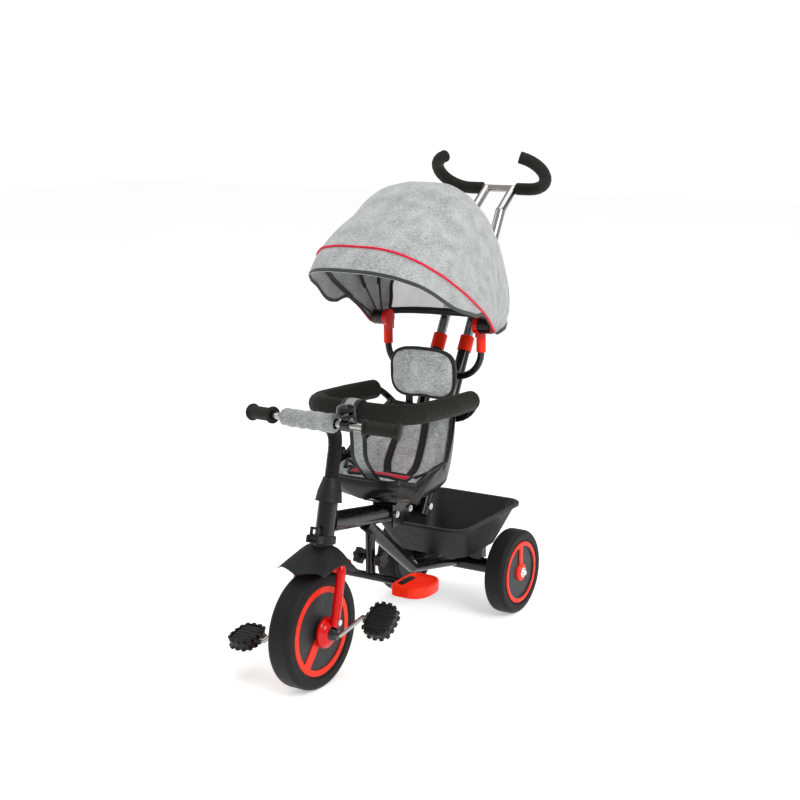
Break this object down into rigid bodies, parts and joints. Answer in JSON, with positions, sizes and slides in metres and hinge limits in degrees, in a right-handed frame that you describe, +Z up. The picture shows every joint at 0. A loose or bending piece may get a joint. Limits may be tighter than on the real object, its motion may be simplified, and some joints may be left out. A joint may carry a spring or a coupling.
{
  "type": "tricycle",
  "caption": "Child's pedal tricycle with a bucket seat and armrest ring, a folding canopy, a rear tub and a parent push handle.",
  "frame": {"origin": "centre of the bounding box on the ground plane", "axes": "+Z up, -Y forwards, +X to the rider's left"},
  "size_m": [0.407, 0.9682, 1.0953],
  "materials": {
    "frame_black_steel": "gloss powder coat",
    "red_metal": "gloss powder coat",
    "bare_steel": "polished tube",
    "bright_bolt": "zinc plated",
    "black_plastic": "fine grain",
    "tub_plastic": "satin grain",
    "orange_plastic": "moulded gloss",
    "red_plastic": "moulded gloss",
    "dark_disc": "moulded gloss",
    "tyre_foam": "smooth foam tyre",
    "foam_black": "closed cell foam sleeve",
    "grip_rubber": "soft grip",
    "grey_fabric": "melange weave",
    "strap_webbing": "ribbed webbing",
    "strap_grey": "melange weave with black edges"
  },
  "bodies": {
    "frame": {"main_frame": "frame_black_steel", "head_rings": "black_plastic", "axle_housing": "frame_black_steel", "rear_axle": "bright_bolt", "rear_caps": "bright_bolt", "foot_bar": "frame_black_steel", "seat_bracket": "frame_black_steel", "seat_bolts": "bright_bolt", "frame_knobs": "black_plastic", "tub": "tub_plastic", "tub_stays": "frame_black_steel", "push_sockets": "frame_black_steel", "push_collars": "orange_plastic", "seat_shell": "black_plastic", "seat_cushion": "grey_fabric", "harness": "strap_webbing", "buckle": "black_plastic", "crotch_strap": "strap_grey", "ring_tubes": "frame_black_steel", "ring_foam": "foam_black", "headrest_guides": "black_plastic", "canopy_hoop": "frame_black_steel", "canopy_sleeves": "orange_plastic", "hinge_cups": "red_plastic", "canopy_rear_bow": "black_plastic", "canopy_rear": "grey_fabric", "steer_block": "black_plastic"},
    "fork": {"fork": "red_metal", "hub_covers": "red_plastic", "leg_bolts": "bright_bolt", "mudguard": "black_plastic", "stem_collar": "black_plastic", "stem_bellows": "foam_black", "handlebar": "bare_steel", "bar_sleeve": "grey_fabric", "grips": "grip_rubber", "bell_base": "black_plastic"},
    "front_wheel": {"front_tyre": "tyre_foam", "front_disc": "dark_disc", "front_trim": "orange_plastic", "crank": "bare_steel"},
    "pedal_left": {"pedal_left": "black_plastic"},
    "pedal_right": {"pedal_right": "black_plastic"},
    "rear_wheel_left": {"rear_tyre_left": "tyre_foam", "rear_disc_left": "dark_disc"},
    "rear_wheel_right": {"rear_tyre_right": "tyre_foam", "rear_disc_right": "dark_disc"},
    "footrest_left": {"footrest_left": "orange_plastic"},
    "footrest_right": {"footrest_right": "orange_plastic"},
    "push_handle": {"push_tubes": "bare_steel", "push_grips": "foam_black"},
    "canopy_mid_part": {"canopy_mid_bow": "black_plastic", "canopy_mid": "grey_fabric"},
    "canopy_front_part": {"canopy_front_bow": "black_plastic", "canopy_front": "grey_fabric"},
    "headrest": {"headrest_stays": "black_plastic", "headrest_pad": "grey_fabric"},
    "bell_lever": {"bell_lever": "black_plastic"},
    "steer_lever": {"steer_lever": "black_plastic"}
  },
  "joints": [
    {"name": "steering", "type": "hinge", "parent": "frame", "child": "fork", "pos_m": [0, -0.35711, 0.127], "axis": [0, 0.2504, 0.9681], "range_deg": [-25, 25]},
    {"name": "front_wheel_spin", "type": "hinge", "parent": "fork", "child": "front_wheel", "pos_m": [0, -0.35711, 0.127], "axis": [1, 0, 0], "continuous": true},
    {"name": "pedal_left_spin", "type": "hinge", "parent": "front_wheel", "child": "pedal_left", "pos_m": [0.155, -0.3289, 0.16583], "axis": [1, 0, 0], "continuous": true},
    {"name": "pedal_right_spin", "type": "hinge", "parent": "front_wheel", "child": "pedal_right", "pos_m": [-0.155, -0.38533, 0.08817], "axis": [1, 0, 0], "continuous": true},
    {"name": "rear_left_spin", "type": "hinge", "parent": "frame", "child": "rear_wheel_left", "pos_m": [0.152, 0.25589, 0.1016], "axis": [1, 0, 0], "continuous": true},
    {"name": "rear_right_spin", "type": "hinge", "parent": "frame", "child": "rear_wheel_right", "pos_m": [-0.152, 0.25589, 0.1016], "axis": [1, 0, 0], "continuous": true},
    {"name": "footrest_left_fold", "type": "hinge", "parent": "frame", "child": "footrest_left", "pos_m": [0.092, -0.13211, 0.182], "axis": [0, -1, 0], "range_deg": [0, 85]},
    {"name": "footrest_right_fold", "type": "hinge", "parent": "frame", "child": "footrest_right", "pos_m": [-0.092, -0.13211, 0.182], "axis": [0, 1, 0], "range_deg": [0, 85]},
    {"name": "push_handle_slide", "type": "slide", "parent": "frame", "child": "push_handle", "axis": [0, 0.4924, 0.8704], "range_m": [-0.1, 0.03]},
    {"name": "canopy_front_fold", "type": "hinge", "parent": "frame", "child": "canopy_front_part", "pos_m": [0, 0.14289, 0.716], "axis": [-1, 0, 0], "range_deg": [0, 50]},
    {"name": "canopy_mid_fold", "type": "hinge", "parent": "frame", "child": "canopy_mid_part", "pos_m": [0, 0.14289, 0.716], "axis": [-1, 0, 0], "range_deg": [0, 25]},
    {"name": "headrest_slide", "type": "slide", "parent": "frame", "child": "headrest", "axis": [0, 0, 1], "range_m": [0, 0.04]},
    {"name": "bell_lever_press", "type": "hinge", "parent": "fork", "child": "bell_lever", "pos_m": [0.086, -0.34311, 0.6004], "axis": [0, 0, 1], "range_deg": [0, 25], "stiffness_Nm_per_rad": 0.02},
    {"name": "steer_lever_swing", "type": "hinge", "parent": "frame", "child": "steer_lever", "pos_m": [0, -0.34509, 0.32324], "axis": [1, 0, 0], "range_deg": [0, 85]}
  ],
  "couplings": [
    {"joint": "canopy_mid_fold", "follows": "canopy_front_fold", "ratio": 0.5}
  ]
}
